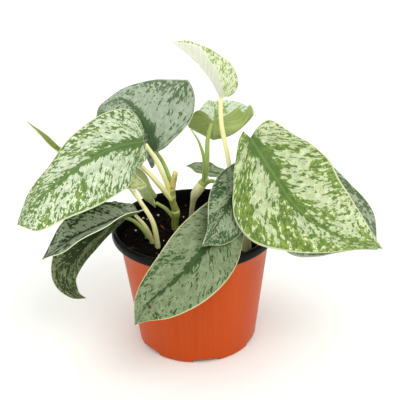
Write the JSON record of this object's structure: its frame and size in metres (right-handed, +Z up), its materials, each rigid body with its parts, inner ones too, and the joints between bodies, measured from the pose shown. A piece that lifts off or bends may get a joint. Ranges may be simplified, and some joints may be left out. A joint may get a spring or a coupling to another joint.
{
  "type": "potted satin pothos",
  "caption": "Satin pothos houseplant with silver-marked heart-shaped leaves, growing in a round plastic nursery pot filled with peat.",
  "frame": {"origin": "centre of the pot's foot, on the ground plane", "axes": "+Z up; -Y is the plant's front as pictured, +X to the right of that view"},
  "size_m": [0.2189, 0.1492, 0.2063],
  "materials": {
    "pot": "terracotta-orange outside, black inside and on the rolled rim",
    "soil": "damp dark peat with white grit and bark",
    "stem": "smooth pale yellow-green, faintly satin",
    "leaf": "satin green with silver patches and a thin pale margin",
    "leaf_pale": "young leaf, pale yellow-green with light flecks"
  },
  "bodies": {
    "root": {"pot": "pot", "soil": "soil", "stem_left": "stem", "stem_middle": "stem", "stem_right": "stem", "stalk_front": "stem", "stalk_left": "stem", "stalk_left_back": "stem", "leaf_front_left": "leaf", "leaf_back_left": "leaf", "leaf_top_young": "leaf_pale", "leaf_back_cupped": "leaf", "leaf_right_large": "leaf", "leaf_right_behind": "leaf", "leaf_middle": "leaf", "leaf_front_draped": "leaf", "leaf_left_folded": "leaf", "leaf_left_hanging": "leaf", "leaf_back_small": "leaf", "leaf_left_inner": "leaf", "leaf_left_rolled": "leaf_pale", "leaf_left_curled": "leaf"}
  },
  "joints": []
}
